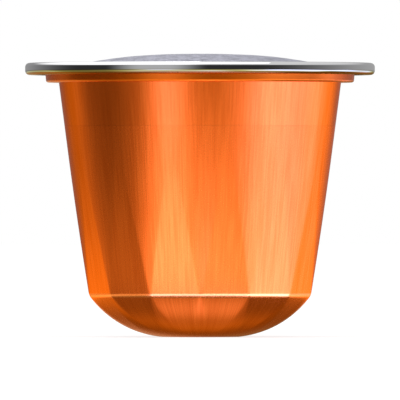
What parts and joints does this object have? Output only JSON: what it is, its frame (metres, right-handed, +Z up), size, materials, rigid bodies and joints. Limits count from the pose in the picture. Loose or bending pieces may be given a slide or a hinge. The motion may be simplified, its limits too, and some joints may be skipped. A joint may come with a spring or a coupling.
{
  "type": "coffee pod",
  "caption": "Sealed single-serve coffee pod: a faceted, tapered aluminium cup with a rounded end, a rolled rim, a sealing ring and a domed foil lid.",
  "frame": {"origin": "centre of the small flat that the pod stands on", "axes": "+Z up along the pod's axis, towards the foil lid; -Y passes through a corner between two facets"},
  "size_m": [0.037, 0.037, 0.0299],
  "materials": {
    "orange_lacquer": "satin, transparent orange lacquer over drawn aluminium, with bare silver on the rolled rim",
    "ring_rubber": "smooth, slightly glossy orange silicone",
    "bare_foil": "satin silver foil with faint mottling"
  },
  "bodies": {
    "root": {"cup": "orange_lacquer", "sealing_ring": "ring_rubber", "foil_lid": "bare_foil"}
  },
  "joints": []
}
